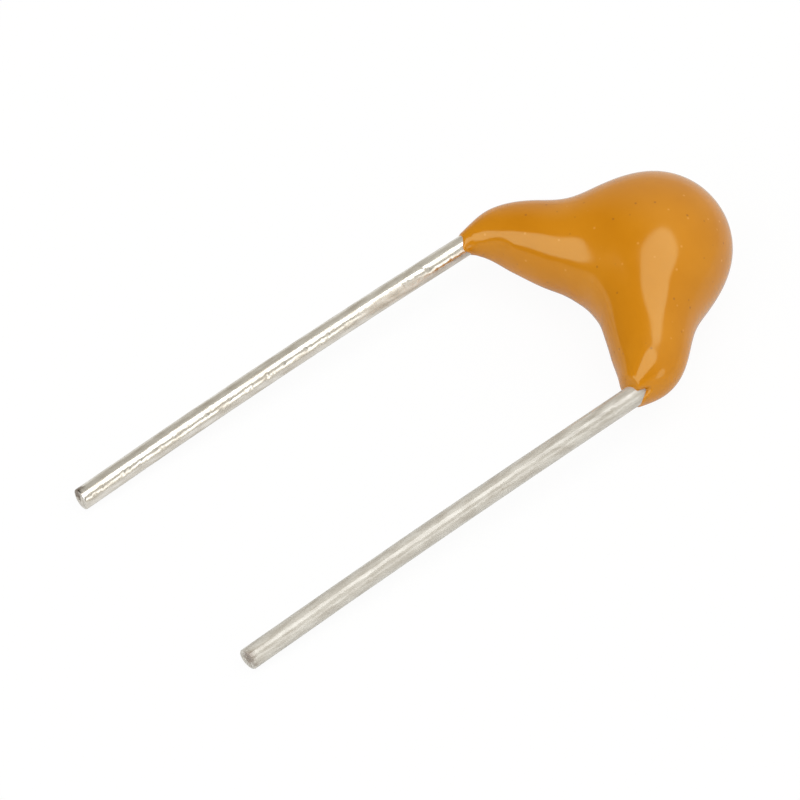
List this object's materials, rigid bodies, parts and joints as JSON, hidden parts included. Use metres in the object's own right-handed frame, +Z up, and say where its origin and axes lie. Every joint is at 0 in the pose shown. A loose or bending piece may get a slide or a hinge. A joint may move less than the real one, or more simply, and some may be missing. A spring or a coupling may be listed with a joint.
{
  "type": "radial multilayer ceramic capacitor",
  "caption": "Wishbone-shaped epoxy-dipped chip capacitor with parallel tinned wires leaving its feet, lying flat.",
  "frame": {"origin": "Middle of the bounding box on the surface that the part lies on, with its belly and the two wire tips touching that surface.", "axes": "+Y along the part from the wire tips to the crown of the coat, +X across the two wires, +Z up through the thickness."},
  "size_m": [0.0058, 0.0144, 0.0028],
  "materials": {
    "epoxy": "glossy amber dipped epoxy",
    "dielectric": "fired ceramic",
    "electrode_metal": "fired nickel plates",
    "termination_metal": "plated end metal",
    "solder": "tin solder",
    "tinned_wire": "tinned drawn wire"
  },
  "bodies": {
    "root": {"epoxy_coat": "epoxy", "ceramic_body": "dielectric", "left_electrodes": "electrode_metal", "right_electrodes": "electrode_metal", "left_termination": "termination_metal", "right_termination": "termination_metal", "left_solder": "solder", "right_solder": "solder", "left_lead": "tinned_wire", "right_lead": "tinned_wire"}
  },
  "joints": []
}
